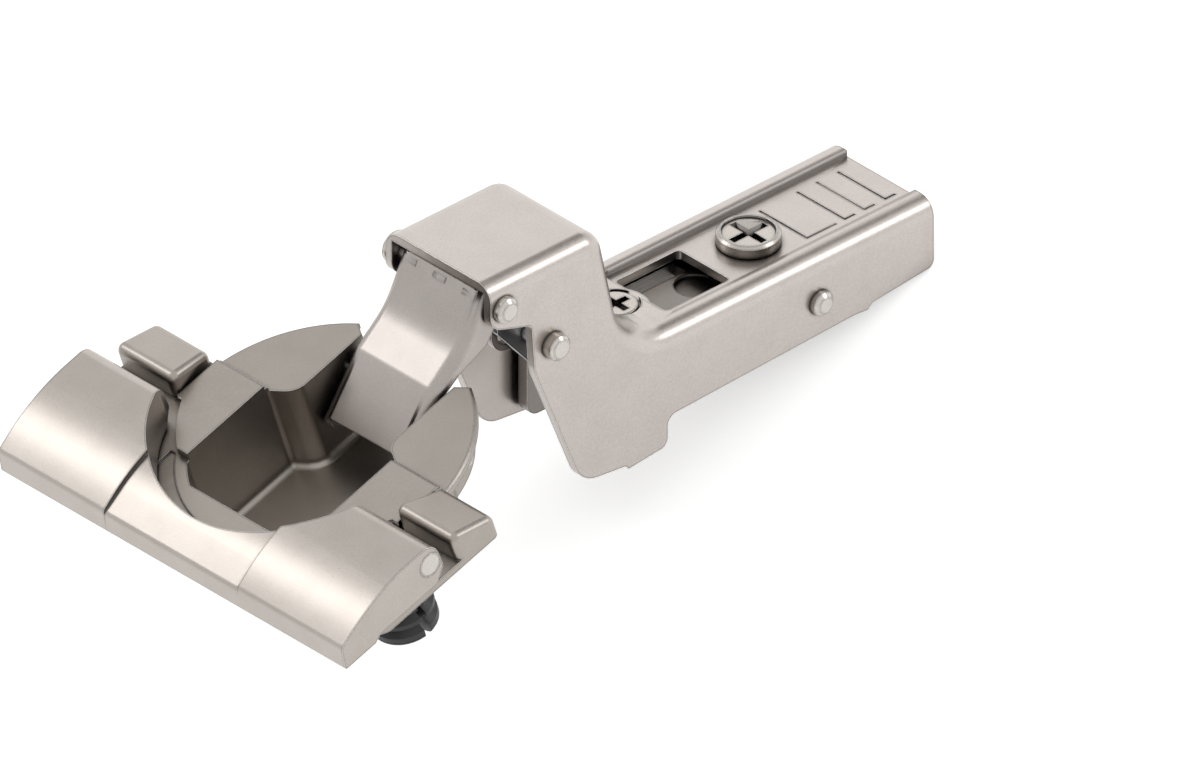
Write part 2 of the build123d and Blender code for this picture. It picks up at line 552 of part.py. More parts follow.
def outer_arm_pin():
    """Headed pin of the outer link, riveted in the arm's walls."""
    centre = to_arm(PIVOT_OUTER_ARM)
    near = bar(centre, OUTER_PIN_END_R, -ARM_HALF - OUTER_PIN_PROUD, -ARM_HALF + ARM_T)
    near = chamfered_end(near, -ARM_HALF - OUTER_PIN_PROUD, 0.5)
    far = bar(centre, OUTER_PIN_HEAD_R, ARM_HALF, ARM_HALF + OUTER_PIN_HEAD_T)
    far = chamfered_end(far, ARM_HALF + OUTER_PIN_HEAD_T, 0.35)
    return place_arm(near + bar(centre, OUTER_PIN_R, -ARM_HALF, ARM_HALF + 0.5) + far)


def inner_arm_pin():
    """Stepped pin of the inner link and the closing spring."""
    centre = to_arm(PIVOT_INNER_ARM)
    near = bar(centre, INNER_PIN_END_R, -ARM_HALF - INNER_PIN_PROUD, -ARM_HALF + ARM_T)
    near = chamfered_end(near, -ARM_HALF - INNER_PIN_PROUD, 0.4)
    far = bar(centre, INNER_PIN_END_R, ARM_HALF - ARM_T, ARM_HALF + 0.6)
    far = chamfered_end(far, ARM_HALF + 0.6, 0.3)
    return place_arm(near + bar(centre, INNER_PIN_R, -ARM_HALF + 0.5, ARM_HALF - 0.5) + far)


def rear_pin():
    """Pin across the arm that guides the inner channel."""
    end = ARM_HALF + REAR_PIN_PROUD
    pin = bar(REAR_PIN, REAR_PIN_R, -end, end)
    pin = chamfered_end(pin, -end, 0.5)
    return place_arm(chamfered_end(pin, end, 0.5))


def closing_spring():
    """Folded plate spring on the inner link's pin, its back under the box's roof."""
    bx, bz = to_arm(PIVOT_INNER_ARM)
    top = BOX_ROOF - ARM_T - SEATED
    cheek = outline([(24.6, top), (23.9, 6.5), (29.5, 0.0), (32.4, 0.0), (33.4, top)], [1.2, 0.5, 0.8, 1.5, 0.5])
    solid = slab(cheek, -SPRING_HALF, SPRING_HALF)
    inner = SPRING_HALF - SPRING_T
    solid -= block(20, 40, -inner, inner, -5, top - SPRING_T)
    solid -= bar((bx, bz), INNER_PIN_R + SEATED, -ARM_HALF, ARM_HALF)
    return place_arm(solid)


# Adjusters, inner channel and latch

def carrier():
    """Inner channel that clips to the cabinet side, forked at the front round the side screw's neck."""
    foot = CARRIER_TOP - CARRIER_T
    side = outline([(CARRIER_FRONT, CARRIER_TOP), (CARRIER_FRONT, -15.6), (44.6, -15.6), (44.6, -10.9),
                    (CARRIER_REAR, -10.2), (CARRIER_REAR, CARRIER_TOP)], [0.6, 1.8, 1.8, 1.0, 1.5, 0.6])
    solid = slab(side, -CARRIER_HALF, CARRIER_HALF)
    inner = CARRIER_HALF - CARRIER_T
    solid -= block(30, 100, -inner, inner, -30, foot)
    slot_length = 2 * CARRIER_TRAVEL
    slot_half = SIDE_SCREW_R + FREE
    slot_end = SIDE_SCREW_X + CARRIER_TRAVEL
    web_open = slot_end + slot_half + 0.1
    solid -= block(CARRIER_FRONT - 1, slot_end, -slot_half, slot_half, foot - 1, CARRIER_TOP + 1)
    solid -= post(slot_end, 0, slot_half, foot - 1, CARRIER_TOP + 1)
    solid -= both_sides(block(web_open, 60.0, 3.0, inner - 0.4, foot - 1, CARRIER_TOP + 1))
    solid -= post(59.0, 0, 2.6, CARRIER_TOP - 0.6, CARRIER_TOP + 1)
    pin_room = CAM_PIN_R + 0.2
    solid -= block(CAM_X - pin_room, CAM_X + pin_room, -0.3, CAM_THROW + CAM_PIN_R + FREE, foot - 1, CARRIER_TOP + 1)
    guide = Pos(*REAR_PIN) * SlotCenterToCenter(slot_length + 0.4, 2 * (REAR_PIN_R + RUNNING))
    solid -= slab(guide, -ARM_HALF, ARM_HALF)
    solid -= bar(LATCH_PIN, LATCH_PIN_R + SEATED, -ARM_HALF, ARM_HALF)
    return place_arm(solid)


def cross_recess(x, top, length, depth):
    """Cut of a cross-slotted head."""
    arms = block(x - length / 2, x + length / 2, -RECESS_HALF, RECESS_HALF, top - depth, top + 1)
    arms += block(x - RECESS_HALF, x + RECESS_HALF, -length / 2, length / 2, top - depth, top + 1)
    return arms


def depth_cam():
    """Adjuster turning in the arm's roof, with an off-centre pin in the channel's slot."""
    panel = REAR_ROOF - PANEL_SINK
    top = panel + CAM_PROUD
    head = post(CAM_X, 0, CAM_HEAD_R, panel + FREE / 3, top)
    head = chamfer(head.edges().sort_by(Axis.Z)[-1], 0.35)
    solid = head + post(CAM_X, 0, CAM_SHAFT_R, CARRIER_TOP + 0.15, panel + 0.5)
    solid += post(CAM_X, CAM_THROW, CAM_PIN_R, REAR_PIN[1] + REAR_PIN_R + CAM_PIN_GAP, CARRIER_TOP + 0.5)
    solid -= post(CAM_X, 0, CAM_HEAD_R - CAM_RING_W, top - CAM_DISH, top + 1)
    return place_arm(solid - cross_recess(CAM_X, top, 5.2, 2.0))


def side_screw():
    """Screw that sets the arm's height over the channel, hooked in its slot by a neck and a foot."""
    top = REAR_ROOF - SIDE_SEAT_DEPTH + FREE / 3 + SIDE_SCREW_HEAD_T
    solid = post(SIDE_SCREW_X, 0, SIDE_SCREW_HEAD_R, top - SIDE_SCREW_HEAD_T, top)
    solid = fillet(solid.edges().sort_by(Axis.Z)[-1], 0.25)
    foot_top = CARRIER_TOP - CARRIER_T - SIDE_FOOT_GAP
    solid += post(SIDE_SCREW_X, 0, SIDE_SCREW_R, SIDE_SHAFT_END, top - 0.4)
    solid += post(SIDE_SCREW_X, 0, SIDE_NECK_R, foot_top - SIDE_FOOT_T / 2, top - 0.4)
    solid += post(SIDE_SCREW_X, 0, SIDE_FOOT_R, foot_top - SIDE_FOOT_T, foot_top)
    return place_arm(solid - cross_recess(SIDE_SCREW_X, top, 3.6, 0.9))


def latch_lever():
    """Sprung catch at the rear of the channel, with a finger tab under the arm."""
    px, pz = LATCH_PIN
    side = outline([(px - 2.2, pz + 1.5), (px - 4.9, pz - 2.4), (75.7, -11.9), (78.6, -11.6), (px + 1.4, pz - 2.2),
                    (px + 2.4, pz + 1.2)], [0.8, 0.6, 0.5, 0.5, 1.2, 1.0])
    solid = slab(side, -LATCH_HALF, LATCH_HALF)
    solid -= block(px - 2.2, px + 4, -LATCH_HALF + LATCH_CHEEK, LATCH_HALF - LATCH_CHEEK, -20, 0)
    solid -= bar(LATCH_PIN, LATCH_PIN_R + RUNNING, -ARM_HALF, ARM_HALF)
    return place_arm(solid)


def latch_pin():
    """Pivot pin of the latch lever."""
    return place_arm(bar(LATCH_PIN, LATCH_PIN_R, -CARRIER_HALF, CARRIER_HALF))


def latch_spring():
    """Close-wound torsion spring round the latch pin."""
    wire = LATCH_SPRING_WIRE_R
    start = -LATCH_SPRING_TURNS * wire
    middle = LATCH_PIN_R + RUNNING + wire
    turns = [ThreePointArc((middle, start + 2 * i * wire), (middle + wire, start + (2 * i + 1) * wire),
                           (middle, start + 2 * (i + 1) * wire)) for i in range(LATCH_SPRING_TURNS)]
    bore = Polyline((middle, -start), (middle - wire, -start), (middle - wire, start), (middle, start))
    coil = revolve(make_face(turns + bore.edges()), Axis.Y)
    return place_arm(Pos(LATCH_PIN[0], 0, LATCH_PIN[1]) * coil)


PIECES = {
    "cup": cup(),
    "cup_axle": cup_axle(),
    "lid": lid(),
    "lid_pin_left": lid_pin(1),
    "lid_pin_right": lid_pin(-1),
    "dowel_left": dowel(1),
    "dowel_right": dowel(-1),
    "spreader_left": spreader(1),
    "spreader_right": spreader(-1),
    "outer_link": outer_link(),
    "inner_link": inner_link(),
    "arm": arm(),
    "outer_arm_pin": outer_arm_pin(),
    "inner_arm_pin": inner_arm_pin(),
    "rear_pin": rear_pin(),
    "closing_spring": closing_spring(),
    "carrier": carrier(),
    "depth_cam": depth_cam(),
    "side_screw": side_screw(),
    "latch_lever": latch_lever(),
    "latch_pin": latch_pin(),
    "latch_spring": latch_spring(),
}

os.makedirs("parts", exist_ok=True)
for name, piece in PIECES.items():
    export_step(piece, f"parts/{name}.step")
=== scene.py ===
import math

import bmesh
import bpy
from mathutils import Matrix, Vector


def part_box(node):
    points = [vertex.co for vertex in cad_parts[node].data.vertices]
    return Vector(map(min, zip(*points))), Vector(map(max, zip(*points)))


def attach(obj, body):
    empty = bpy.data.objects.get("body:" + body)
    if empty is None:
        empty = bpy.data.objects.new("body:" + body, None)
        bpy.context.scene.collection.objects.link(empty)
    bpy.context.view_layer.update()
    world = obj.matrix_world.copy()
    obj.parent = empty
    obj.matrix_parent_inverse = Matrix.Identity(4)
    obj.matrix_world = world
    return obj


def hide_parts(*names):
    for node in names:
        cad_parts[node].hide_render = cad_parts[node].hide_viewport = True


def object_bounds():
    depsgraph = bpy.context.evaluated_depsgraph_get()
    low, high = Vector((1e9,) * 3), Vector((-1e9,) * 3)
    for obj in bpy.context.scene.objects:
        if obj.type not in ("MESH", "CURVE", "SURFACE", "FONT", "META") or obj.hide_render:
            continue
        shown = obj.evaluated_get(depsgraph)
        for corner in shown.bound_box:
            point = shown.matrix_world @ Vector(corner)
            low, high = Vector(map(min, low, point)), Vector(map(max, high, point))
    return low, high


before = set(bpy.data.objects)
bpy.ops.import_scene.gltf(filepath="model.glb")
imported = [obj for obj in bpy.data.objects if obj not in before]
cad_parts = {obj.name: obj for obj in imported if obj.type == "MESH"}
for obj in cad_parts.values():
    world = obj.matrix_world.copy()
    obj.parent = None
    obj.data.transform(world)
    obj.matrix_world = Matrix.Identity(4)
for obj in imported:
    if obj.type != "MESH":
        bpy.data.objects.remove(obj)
cad_low, cad_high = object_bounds()

# The cup. A zinc pressure casting, barrelled and nickel-plated to a warm satin grey. Its disc, ears, pocket
# and link slot are one piece, and it is pressed into a round boring in the door.

MM = 0.001
CAST_COLOUR = (0.375, 0.343, 0.312)
SATIN_GRAIN = 0.2 * MM
CLOUDS_PER_METRE = 260.0
CLOUD_TINT = (0.8, 0.78, 0.76)
CLOUD_SHARE = 0.2
# Edge rounding, and the sizes and strengths of the painted highlight on edges, the painted shade line beside
# them and the painted shade in grooves and rooms.
EDGE_BREAK = 0.13 * MM
SHOULDER = 0.34 * MM
SHADOW_LINE = 0.6
BRIGHTEST = 0.95
MASK_START = 0.998
MASK_FULL = {"Edge": 0.82, "Beside Edge": 0.97}
SHUT_REACH = {"Groove": 0.9 * MM, "Room": 6 * MM}
OPEN_SKY = {"Groove": 0.9, "Room": 0.75}
SHUT_SKY = {"Groove": 0.45, "Room": 0.3}
WELD = 0.0008 * MM
FACET_ANGLE = math.radians(0.4)
FOLD_ANGLE = math.radians(28)
FLAT_WEIGHT = 75


def step(tree, kind, inputs, **settings):
    """One node with its settings, its inputs given as values or as the sockets that feed them."""
    node = tree.nodes.new(kind)
    for name, value in settings.items():
        setattr(node, name, value)
    for label, value in inputs.items():
        socket = node.inputs[label]
        if isinstance(value, bpy.types.NodeSocket):
            tree.links.new(value, socket)
        else:
            socket.default_value = value
    return node.outputs


def effect_group(name, sizes, results):
    """Shader node group with one named input for each size, and one output for each result."""
    tree = bpy.data.node_groups.new(name, "ShaderNodeTree")
    for label, value in sizes.items():
        tree.interface.new_socket(label, in_out="INPUT", socket_type="NodeSocketFloat").default_value = value
    for label in results:
        kind = "NodeSocketVector" if label == "Normal" else "NodeSocketFloat"
        tree.interface.new_socket(label, in_out="OUTPUT", socket_type=kind)
    return tree, tree.nodes.new("NodeGroupInput").outputs, tree.nodes.new("NodeGroupOutput").inputs


def grain_group():
    """Fine speckle and slow clouding of a barrelled and plated surface."""
    tree, given, out = effect_group("plating_grain", {"Grain Size": SATIN_GRAIN}, ("Speckle", "Cloud"))
    place = step(tree, "ShaderNodeTexCoord", {})["Object"]
    fineness = step(tree, "ShaderNodeMath", {0: 1.0, 1: given["Grain Size"]}, operation="DIVIDE")["Value"]
    speckle = step(tree, "ShaderNodeTexNoise", {"Vector": place, "Scale": fineness, "Detail": 3.0,
                                                "Roughness": 0.65})
    cloud = step(tree, "ShaderNodeTexNoise", {"Vector": place, "Scale": CLOUDS_PER_METRE, "Detail": 4.0})
    tree.links.new(speckle["Fac"], out["Speckle"])
    tree.links.new(cloud["Fac"], out["Cloud"])
    return tree


def edge_group():
    """Rounded shading along edges, with masks of the edges themselves and of the strips beside them, for a
    painted highlight on the edges and a painted shade line beside them.
    """
    sizes = {"Radius": EDGE_BREAK, "Shoulder": SHOULDER}
    tree, given, out = effect_group("painted_edge_highlight_and_shade", sizes, ("Edge", "Beside Edge", "Normal"))
    plain = step(tree, "ShaderNodeNewGeometry", {})["Normal"]
    rounded = {}
    # Masks for the painted highlight on an edge and the painted shade line beside it.
    for size, mask in (("Radius", "Edge"), ("Shoulder", "Beside Edge")):
        rounded[size] = step(tree, "ShaderNodeBevel", {"Radius": given[size]}, samples=6)["Normal"]
        agree = step(tree, "ShaderNodeVectorMath", {0: rounded[size], 1: plain}, operation="DOT_PRODUCT")
        strength = step(tree, "ShaderNodeMapRange", {"Value": agree["Value"], "From Min": MASK_START,
                                                     "From Max": MASK_FULL[mask]})
        tree.links.new(strength["Result"], out[mask])
    tree.links.new(rounded["Radius"], out["Normal"])
    return tree


def crevice_group():
    """How far a point is shut in: by a groove's walls close by, and by those of a room further off, as masks
    for painted shade there.
    """
    tree, _, out = effect_group("painted_crevice_shade", {}, ("Groove", "Room"))
    for mask, reach in SHUT_REACH.items():
        sky = step(tree, "ShaderNodeAmbientOcclusion", {"Distance": reach}, samples=8)["AO"]
        strength = step(tree, "ShaderNodeMapRange", {"Value": sky, "From Min": OPEN_SKY[mask],
                                                     "From Max": SHUT_SKY[mask]})
        tree.links.new(strength["Result"], out[mask])
    return tree


PLATING_GRAIN = grain_group()
EDGE_HIGHLIGHT_AND_SHADE = edge_group()
CREVICE_SHADE = crevice_group()


def ramp(tree, value, low, high):
    """Colour that follows a value from one stop to another, each stop a position and a colour."""
    node = tree.nodes.new("ShaderNodeValToRGB")
    for stop, (position, colour) in zip(node.color_ramp.elements, (low, high)):
        stop.position = position
        stop.color = (*colour, 1)
    tree.links.new(value, node.inputs["Fac"])
    return node.outputs["Color"]


def laid_on(tree, under, over, share, blend="MIX"):
    """Colour with another one, a socket or a plain colour, laid on it by a share."""
    if not isinstance(over, bpy.types.NodeSocket):
        over = (*over, 1)
    colours = {"Fac": share, "Color1": under, "Color2": over}
    return step(tree, "ShaderNodeMixRGB", colours, blend_type=blend)["Color"]


def plated(name, colour, roughness, grain=SATIN_GRAIN, depth=0.006 * MM, contrast=0.07, painted_edge_highlight=0.42,
           metal=1.0, groove=0.7, room=0.3):
    """Satin plated metal: speckled colour and roughness, fine relief, a painted highlight on the edges with a
    painted shade line beside them, and painted shade in grooves and rooms."""
    material = bpy.data.materials.new(name)
    material.use_nodes = True
    tree = material.node_tree
    fine = step(tree, "ShaderNodeGroup", {"Grain Size": grain}, node_tree=PLATING_GRAIN)
    edges = step(tree, "ShaderNodeGroup", {}, node_tree=EDGE_HIGHLIGHT_AND_SHADE)
    shut = step(tree, "ShaderNodeGroup", {}, node_tree=CREVICE_SHADE)

    duller = [c * (1 - contrast) for c in colour]
    lighter = [min(c * (1 + contrast), 1) for c in colour]
    tone = ramp(tree, fine["Speckle"], (0.3, duller), (0.72, lighter))
    clouds = ramp(tree, fine["Cloud"], (0.35, CLOUD_TINT), (0.6, (1, 1, 1)))
    tone = laid_on(tree, tone, clouds, CLOUD_SHARE, "MULTIPLY")
    # A painted shade line beside the edges, a painted highlight on them, then painted shade in grooves and
    # rooms.
    tone = laid_on(tree, tone, [c * (1 - SHADOW_LINE) for c in colour], edges["Beside Edge"])
    tone = laid_on(tree, tone, [min(c + painted_edge_highlight, BRIGHTEST) for c in colour], edges["Edge"])
    # Painted shade: grooves and rooms darkened by how shut in they are.
    tone = laid_on(tree, tone, [1 - groove] * 3, shut["Groove"], "MULTIPLY")
    tone = laid_on(tree, tone, [1 - room] * 3, shut["Room"], "MULTIPLY")

    rough = step(tree, "ShaderNodeMapRange", {"Value": fine["Speckle"], "To Min": roughness * 0.8,
                                              "To Max": roughness * 1.2})
    relief = step(tree, "ShaderNodeBump", {"Distance": depth, "Height": fine["Speckle"],
                                           "Normal": edges["Normal"]})
    shader = tree.nodes["Principled BSDF"].inputs
    shader["Metallic"].default_value = metal
    tree.links.new(tone, shader["Base Color"])
    tree.links.new(rough["Result"], shader["Roughness"])
    tree.links.new(relief["Normal"], shader["Normal"])
    return material


def finished(node, body, material):
    """A copy of a CAD piece with its facets joined, its curved faces smooth and its flat faces flat."""
    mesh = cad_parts[node].data.copy()
    mesh.name = node + "_surface"
    joined = bmesh.new()
    joined.from_mesh(mesh)
    bmesh.ops.remove_doubles(joined, verts=joined.verts, dist=WELD)
    bmesh.ops.dissolve_limit(joined, angle_limit=FACET_ANGLE, verts=joined.verts, edges=joined.edges)
    joined.to_mesh(mesh)
    joined.free()
    mesh.shade_smooth()
    mesh.set_sharp_from_angle(angle=FOLD_ANGLE)
    mesh.materials.clear()
    mesh.materials.append(material)
    piece = bpy.data.objects.new(node + "_surface", mesh)
    bpy.context.scene.collection.objects.link(piece)
    flat = piece.modifiers.new("flat faces", "WEIGHTED_NORMAL")
    flat.weight = FLAT_WEIGHT
    flat.keep_sharp = True
    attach(piece, body)
    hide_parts(node)


cast_metal = plated("satin_cast_nickel", CAST_COLOUR, 0.34, room=0.15)
finished("cup", "cup", cast_metal)

# The cup axle and the lid's pins. Bright drawn steel wire and turned pins. The axle is bent to a U and pushed
# through the slot's walls, and the pins are pressed into the cup's lugs.

PIN_COLOUR = (0.56, 0.53, 0.49)
BRIGHT_DEPTH = 0.004 * MM
pin_metal = plated("drawn_pin_steel", PIN_COLOUR, 0.24, depth=BRIGHT_DEPTH)
for node in ("cup_axle", "lid_pin_left", "lid_pin_right"):
    finished(node, "cup", pin_metal)

# The dowels. Split plugs of black nylon with barbed rings, moulded in one shot and clipped into the flange
# from above. The steel spreaders stand in their bores.

NYLON_COLOUR = (0.012, 0.012, 0.013)
DOWEL_SIZES = {"Ribs": 3, "Rib Pitch": 1.9 * MM, "Rib Depth": 0.75 * MM, "Flare": 0.45, "Land": 0.3,
               "Radius": 4.0 * MM, "Neck": 0.6 * MM, "Collar Radius": 4.6 * MM, "Collar": 0.5 * MM,
               "Plate": 1.0 * MM, "Bore": 1.4 * MM, "Split": 0.9 * MM, "Split Top": 0.9 * MM,
               "Cap": 1.15 * MM, "Cap Sunk": 0.25 * MM}
BORE_LENGTH = 20 * MM
SEAM_ANGLE = math.radians(35)
nylon = plated("black_nylon", NYLON_COLOUR, 0.42, grain=0.4 * MM, contrast=0.3, painted_edge_highlight=0.015, metal=0.0)


def shape_tree(name, sizes):
    """Geometry Nodes tree with one named input for each size and one for the finish, and its two ends."""
    tree = bpy.data.node_groups.new(name, "GeometryNodeTree")
    tree.interface.new_socket("Geometry", in_out="INPUT", socket_type="NodeSocketGeometry")
    for label, value in sizes.items():
        kind = "NodeSocketInt" if isinstance(value, int) else "NodeSocketFloat"
        tree.interface.new_socket(label, in_out="INPUT", socket_type=kind).default_value = value
    tree.interface.new_socket("Finish", in_out="INPUT", socket_type="NodeSocketMaterial")
    tree.interface.new_socket("Geometry", in_out="OUTPUT", socket_type="NodeSocketGeometry")
    return tree, tree.nodes.new("NodeGroupInput").outputs, tree.nodes.new("NodeGroupOutput").inputs


def worked(tree, a, b, operation="ADD"):
    """Result of one arithmetic step on two values or sockets."""
    return step(tree, "ShaderNodeMath", {0: a, 1: b}, operation=operation)[0]


def opposite(tree, value):
    """The same length the other way."""
    return worked(tree, 0.0, value, "SUBTRACT")


def upright(tree, x, y, z):
    """Vector from three values or sockets."""
    return step(tree, "ShaderNodeCombineXYZ", {"X": x, "Y": y, "Z": z})["Vector"]


def moved(tree, shape, place, turn=(0, 0, 0), scale=(1, 1, 1)):
    """A shape set at a place."""
    return step(tree, "GeometryNodeTransform", {"Geometry": shape, "Translation": place, "Rotation": turn,
                                                "Scale": scale})["Geometry"]


def joined_shapes(tree, shapes):
    """Several shapes as one geometry."""
    node = tree.nodes.new("GeometryNodeJoinGeometry")
    for shape in shapes:
        tree.links.new(shape, node.inputs[0])
    return node.outputs[0]


def drum(tree, radius, depth, top, low_radius=None):
    """Round drum or cone frustum whose upper face is at the height top."""
    low_radius = radius if low_radius is None else low_radius
    shape = step(tree, "GeometryNodeMeshCone", {"Vertices": 72, "Radius Top": radius, "Depth": depth,
                                                "Radius Bottom": low_radius})["Mesh"]
    return moved(tree, shape, upright(tree, 0.0, 0.0, worked(tree, top, depth, "SUBTRACT")))


def without(tree, shape, cutter, **settings):
    """A shape with another one cut out of it."""
    return step(tree, "GeometryNodeMeshBoolean", {"Mesh 1": shape, "Mesh 2": cutter, **settings},
                operation="DIFFERENCE", solver="EXACT")["Mesh"]


def finished_tree(tree, shape, given, out):
    """Ends a tree: its shape made real and put in its finish."""
    real = step(tree, "GeometryNodeRealizeInstances", {"Geometry": shape})["Geometry"]
    coated = step(tree, "GeometryNodeSetMaterial", {"Geometry": real, "Material": given["Finish"]})
    tree.links.new(coated["Geometry"], out["Geometry"])


def grown(name, tree, finish, body, slot, replaced, **changed):
    """Plain mesh piece that a Geometry Nodes tree makes, riding on its body."""
    seed = bpy.data.objects.new(name + "_seed", bpy.data.meshes.new(name + "_seed"))
    bpy.context.scene.collection.objects.link(seed)
    maker = seed.modifiers.new(name, "NODES")
    maker.node_group = tree
    given = {"Finish": finish, **changed}
    for item in tree.interface.items_tree:
        if item.in_out == "INPUT" and item.name in given:
            maker[item.identifier] = given[item.name]
    made = bpy.data.meshes.new_from_object(seed.evaluated_get(bpy.context.evaluated_depsgraph_get()))
    seed.modifiers.remove(maker)
    bpy.data.objects.remove(seed)
    made.name = name
    made.shade_smooth()
    made.set_sharp_from_angle(angle=SEAM_ANGLE)
    piece = bpy.data.objects.new(name, made)
    bpy.context.scene.collection.objects.link(piece)
    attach(piece, body)
    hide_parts(*replaced)
    return piece


def dowel_tree():
    """Two split plugs: a collar, a neck, a row of barbed ribs on a core, a domed end, a bore and a split."""
    tree, given, out = shape_tree("barbed_dowel", {**DOWEL_SIZES, "Place X": 0.0, "Place Y": 0.0})
    core = worked(tree, given["Radius"], given["Rib Depth"], "SUBTRACT")
    neck_end = opposite(tree, given["Neck"])
    row = worked(tree, given["Ribs"], given["Rib Pitch"], "MULTIPLY")
    collar = drum(tree, given["Collar Radius"], given["Collar"], given["Plate"])
    neck = drum(tree, given["Radius"], worked(tree, given["Plate"], given["Neck"]), given["Plate"])
    stem = drum(tree, core, row, neck_end)

    flare = worked(tree, given["Rib Pitch"], given["Flare"], "MULTIPLY")
    land = worked(tree, given["Rib Pitch"], given["Land"], "MULTIPLY")
    rib = joined_shapes(tree, [drum(tree, core, flare, 0.0, low_radius=given["Radius"]),
                               drum(tree, given["Radius"], land, opposite(tree, flare))])
    stations = step(tree, "GeometryNodeMeshLine", {
        "Count": given["Ribs"], "Start Location": upright(tree, 0.0, 0.0, neck_end),
        "Offset": upright(tree, 0.0, 0.0, opposite(tree, given["Rib Pitch"]))})["Mesh"]
    ribs = step(tree, "GeometryNodeInstanceOnPoints", {"Points": stations, "Instance": rib})["Instances"]
    ribs = step(tree, "GeometryNodeRealizeInstances", {"Geometry": ribs})["Geometry"]

    end = worked(tree, worked(tree, neck_end, row, "SUBTRACT"), given["Cap Sunk"])
    dome = step(tree, "GeometryNodeMeshUVSphere", {"Segments": 72, "Rings": 24, "Radius": 1.0})["Mesh"]
    dome = moved(tree, dome, upright(tree, 0.0, 0.0, end),
                 scale=upright(tree, given["Radius"], given["Radius"], given["Cap"]))

    plug = joined_shapes(tree, [collar, neck, stem, ribs, dome])
    bore = drum(tree, given["Bore"], BORE_LENGTH, BORE_LENGTH / 2)
    deep = worked(tree, given["Radius"], 4.0, "MULTIPLY")
    split = step(tree, "GeometryNodeMeshCube", {"Size": upright(tree, given["Split"], deep, deep)})["Mesh"]
    low = worked(tree, worked(tree, deep, -0.5, "MULTIPLY"), given["Split Top"], "SUBTRACT")
    split = moved(tree, split, upright(tree, 0.0, 0.0, low))
    plug = without(tree, plug, bore, **{"Self Intersection": True})
    plug = without(tree, plug, split)

    pair = step(tree, "GeometryNodeMeshLine", {
        "Count": 2, "Start Location": upright(tree, given["Place X"], opposite(tree, given["Place Y"]), 0.0),
        "Offset": upright(tree, 0.0, worked(tree, given["Place Y"], 2.0, "MULTIPLY"), 0.0)})["Mesh"]
    plugs = step(tree, "GeometryNodeInstanceOnPoints", {"Points": pair, "Instance": plug})["Instances"]
    finished_tree(tree, plugs, given, out)
    return tree


dowel_low, dowel_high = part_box("dowel_left")
dowel_middle = (dowel_low + dowel_high) / 2
grown("dowels", dowel_tree(), nylon, "cup", "dowel_nylon", ("dowel_left", "dowel_right"),
      **{"Place X": dowel_middle.x, "Place Y": dowel_middle.y})
for side in ("left", "right"):
    finished("spreader_" + side, "spreader_" + side, pin_metal)

# The lid. A thin zinc casting with a long crowned back, plated as the cup is. It swings on its two pins and
# presses the spreaders down when it is closed.

LID_COLOUR = (0.44, 0.403, 0.37)
lid_metal = plated("satin_lid_nickel", LID_COLOUR, 0.3, groove=0.8)
finished("lid", "lid", lid_metal)

# The links. Folded and rolled steel, plated a little greyer than the arm. The outer link's knuckles are
# rolled round the arm's front pin, and the inner link hides under it.

LINK_COLOUR = (0.4, 0.366, 0.345)
link_metal = plated("satin_link_nickel", LINK_COLOUR, 0.32)
finished("outer_link", "outer_link", link_metal)
finished("inner_link", "inner_link", link_metal)

# The arm. One strip of steel pressed to a channel with a high box at its front and a low rear roof, then
# plated. The links' pins and the rear guide pin are riveted through its walls, and the closing spring is a
# folded plate.

ARM_COLOUR = (0.51, 0.467, 0.438)
SPRING_COLOUR = (0.5, 0.54, 0.6)
arm_metal = plated("satin_arm_nickel", ARM_COLOUR, 0.3, contrast=0.09, groove=0.4, room=0.45)
spring_metal = plated("blue_spring_steel", SPRING_COLOUR, 0.22, depth=BRIGHT_DEPTH)
finished("arm", "arm", arm_metal)
for node in ("outer_arm_pin", "inner_arm_pin", "rear_pin"):
    finished(node, "arm", pin_metal)
finished("closing_spring", "arm", spring_metal)

# The inner channel with its latch. A heavier pressed steel channel that slides in the arm. The latch lever
# turns on a pin at its rear against a small coil spring.

CHANNEL_COLOUR = (0.26, 0.24, 0.22)
COIL_SIZES = {"Turns": 5.0, "Mean Radius": 1.4 * MM, "Wire": 0.33 * MM, "Height": 3.5 * MM, "Leg": 1.6 * MM}
# Its grooves and rooms get deep painted shade.
channel_metal = plated("satin_channel_steel", CHANNEL_COLOUR, 0.36, grain=0.22 * MM, groove=0.8, room=0.93)
finished("carrier", "carrier", channel_metal)
finished("latch_pin", "carrier", pin_metal)


def coil_tree():
    """Helical wire spring with a straight leg at each end."""
    tree, given, out = shape_tree("coil_spring", COIL_SIZES)
    coil = step(tree, "GeometryNodeCurveSpiral", {
        "Resolution": 36, "Rotations": given["Turns"], "Start Radius": given["Mean Radius"],
        "End Radius": given["Mean Radius"], "Height": given["Height"]})["Curve"]
    lines = [coil]
    for height, away in ((0.0, -1.0), (given["Height"], 1.0)):
        corner = upright(tree, given["Mean Radius"], 0.0, height)
        tip = upright(tree, given["Mean Radius"], worked(tree, given["Leg"], away, "MULTIPLY"), height)
        lines.append(step(tree, "GeometryNodeCurvePrimitiveLine", {"Start": corner, "End": tip})["Curve"])
    ring = step(tree, "GeometryNodeCurvePrimitiveCircle", {"Resolution": 12, "Radius": given["Wire"]})
    wire = step(tree, "GeometryNodeCurveToMesh", {
        "Curve": joined_shapes(tree, lines), "Profile Curve": ring["Curve"], "Fill Caps": True})["Mesh"]
    half = worked(tree, given["Height"], -0.5, "MULTIPLY")
    wire = moved(tree, wire, upright(tree, 0.0, 0.0, half))
    laid = moved(tree, wire, (0, 0, 0), turn=upright(tree, math.pi / 2, 0.0, 0.0))
    finished_tree(tree, laid, given, out)
    return tree


